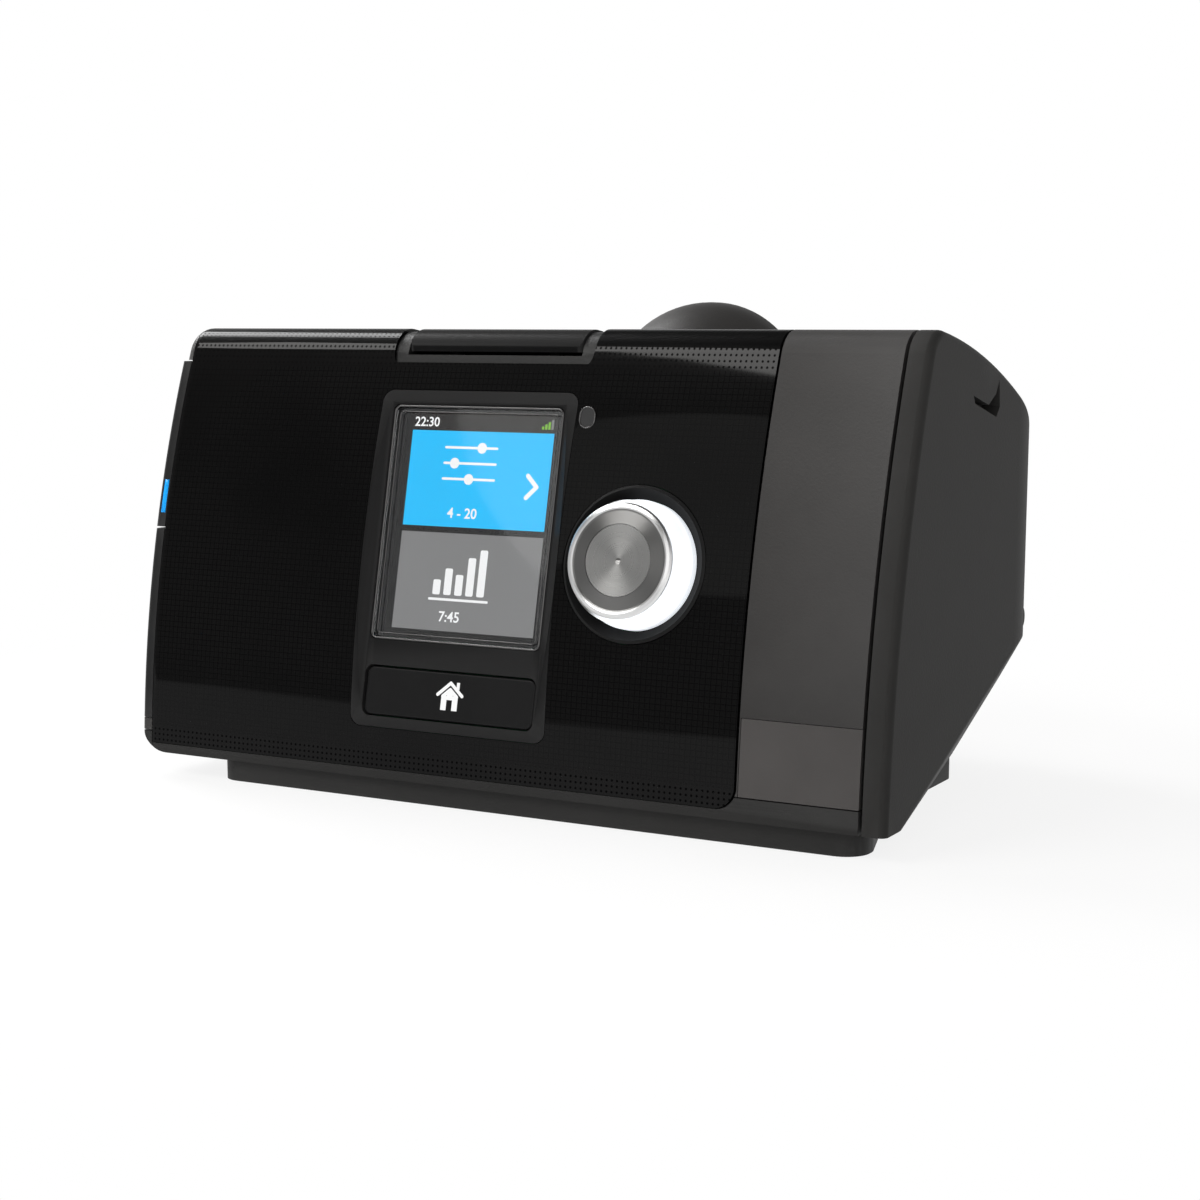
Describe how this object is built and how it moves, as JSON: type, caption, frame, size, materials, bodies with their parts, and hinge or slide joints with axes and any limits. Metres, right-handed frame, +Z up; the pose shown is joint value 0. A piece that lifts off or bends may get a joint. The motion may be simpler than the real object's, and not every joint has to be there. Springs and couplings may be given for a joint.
{
  "type": "cpap machine",
  "caption": "Bedside positive-airway-pressure machine with a leaning black control front, dial, colour screen and a slide-in heated water tub.",
  "frame": {"origin": "table level, middle of the overall width and depth", "axes": "+X to the right seen from the front, +Y to the back, +Z up"},
  "size_m": [0.205, 0.1502, 0.12],
  "materials": {
    "housing": "fine satin moulded",
    "tub_cover_black": "fine satin moulded",
    "fascia": "polished",
    "blue_strip": "gloss",
    "rubber": "matte",
    "steel": "bright",
    "window": "polished",
    "screen": "gloss",
    "light_ring": "translucent",
    "silver_knob": "satin",
    "spun_metal": "spun",
    "inner_plastic": "plain moulded",
    "component": "plain",
    "board": "solder mask",
    "clear_tub": "clear polycarbonate",
    "plate_metal": "satin",
    "motor_metal": "plain",
    "foam": "open fibre"
  },
  "bodies": {
    "casing": {"adapter_port": "component", "air_duct": "inner_plastic", "air_filter": "foam", "base_tray": "housing", "blower_lower": "inner_plastic", "blower_mounts": "rubber", "blower_upper": "inner_plastic", "board_components": "component", "button_switches": "component", "casing_screws": "steel", "dial_dish": "fascia", "dial_encoder": "component", "display_bezel": "fascia", "display_board": "board", "display_lens": "window", "flow_sensor": "inner_plastic", "front_panel": "fascia", "heater_springs": "steel", "hinge_pins": "steel", "label_panel": "housing", "lcd_module": "screen", "light_ring": "light_ring", "light_sensor_lens": "window", "main_board": "board", "main_housing": "housing", "motor_bearings": "steel", "motor_can": "motor_metal", "motor_stator": "motor_metal", "muffler_foam": "foam", "outlet_connector": "tub_cover_black", "outlet_plenum": "inner_plastic", "outlet_seal": "rubber", "port_seals": "rubber", "power_inlet": "component", "rubber_feet": "rubber", "sd_card_socket": "component", "start_switch_board": "board", "tub_bay": "housing"},
    "tub": {"tub_base": "clear_tub", "tub_lid": "clear_tub", "tub_seal": "rubber", "tub_hinge_pin": "steel", "tub_contact_plate": "plate_metal", "tub_cover": "tub_cover_black"},
    "home_key": {"home_button": "fascia"},
    "start_key": {"start_button": "fascia"},
    "dial_carriage": {"encoder_plunger": "inner_plastic"},
    "dial": {"dial_knob": "silver_knob", "dial_cap": "spun_metal", "dial_shaft": "inner_plastic"},
    "sd_card_door": {"sd_card_cover": "tub_cover_black"},
    "adapter_door": {"adapter_cover": "tub_cover_black", "adapter_cover_strip": "blue_strip"},
    "memory_card": {"sd_card": "component"},
    "filter_door": {"filter_cover": "housing"},
    "plug_clip": {"retention_clip": "housing"},
    "heater": {"heater_plate": "plate_metal"},
    "rotor": {"impeller": "inner_plastic", "motor_rotor": "motor_metal", "motor_shaft": "steel"}
  },
  "joints": [
    {"name": "tub_slide", "type": "slide", "parent": "casing", "child": "tub", "axis": [1, 0, 0], "range_m": [0, 0.09]},
    {"name": "home_press", "type": "slide", "parent": "casing", "child": "home_key", "axis": [0, 0.9762, -0.2169], "range_m": [0, 0.0007], "stiffness_N_per_m": 700},
    {"name": "start_press", "type": "slide", "parent": "casing", "child": "start_key", "axis": [0, 0, -1], "range_m": [0, 0.0008], "stiffness_N_per_m": 900},
    {"name": "dial_press", "type": "slide", "parent": "casing", "child": "dial_carriage", "axis": [0, 0.9762, -0.2169], "range_m": [0, 0.0006], "stiffness_N_per_m": 1500},
    {"name": "dial_turn", "type": "hinge", "parent": "dial_carriage", "child": "dial", "pos_m": [0.0374, -0.06523, 0.0604], "axis": [0, 0.9762, -0.2169], "continuous": true},
    {"name": "sd_card_door_hinge", "type": "hinge", "parent": "casing", "child": "sd_card_door", "pos_m": [-0.1004, -0.02752, 0.0382], "axis": [0, 0, -1], "range_deg": [0, 100]},
    {"name": "adapter_door_hinge", "type": "hinge", "parent": "casing", "child": "adapter_door", "pos_m": [-0.1004, -0.02752, 0.0837], "axis": [0, 0, -1], "range_deg": [0, 100]},
    {"name": "card_push", "type": "slide", "parent": "casing", "child": "memory_card", "axis": [1, 0, 0], "range_m": [0, 0.0008], "stiffness_N_per_m": 400},
    {"name": "filter_door_hinge", "type": "hinge", "parent": "casing", "child": "filter_door", "pos_m": [-0.0531, 0.05388, 0.056], "axis": [0, 0, 1], "range_deg": [0, 100]},
    {"name": "plug_clip_hinge", "type": "hinge", "parent": "casing", "child": "plug_clip", "pos_m": [0.033, 0.05728, 0.06], "axis": [-1, 0, 0], "range_deg": [0, 110]},
    {"name": "heater_float", "type": "slide", "parent": "casing", "child": "heater", "axis": [0, 0, -1], "range_m": [0, 0.0008], "stiffness_N_per_m": 2500},
    {"name": "impeller_spin", "type": "hinge", "parent": "casing", "child": "rotor", "pos_m": [-0.05, 0.00348, 0.07], "axis": [0, 0, 1], "continuous": true}
  ]
}
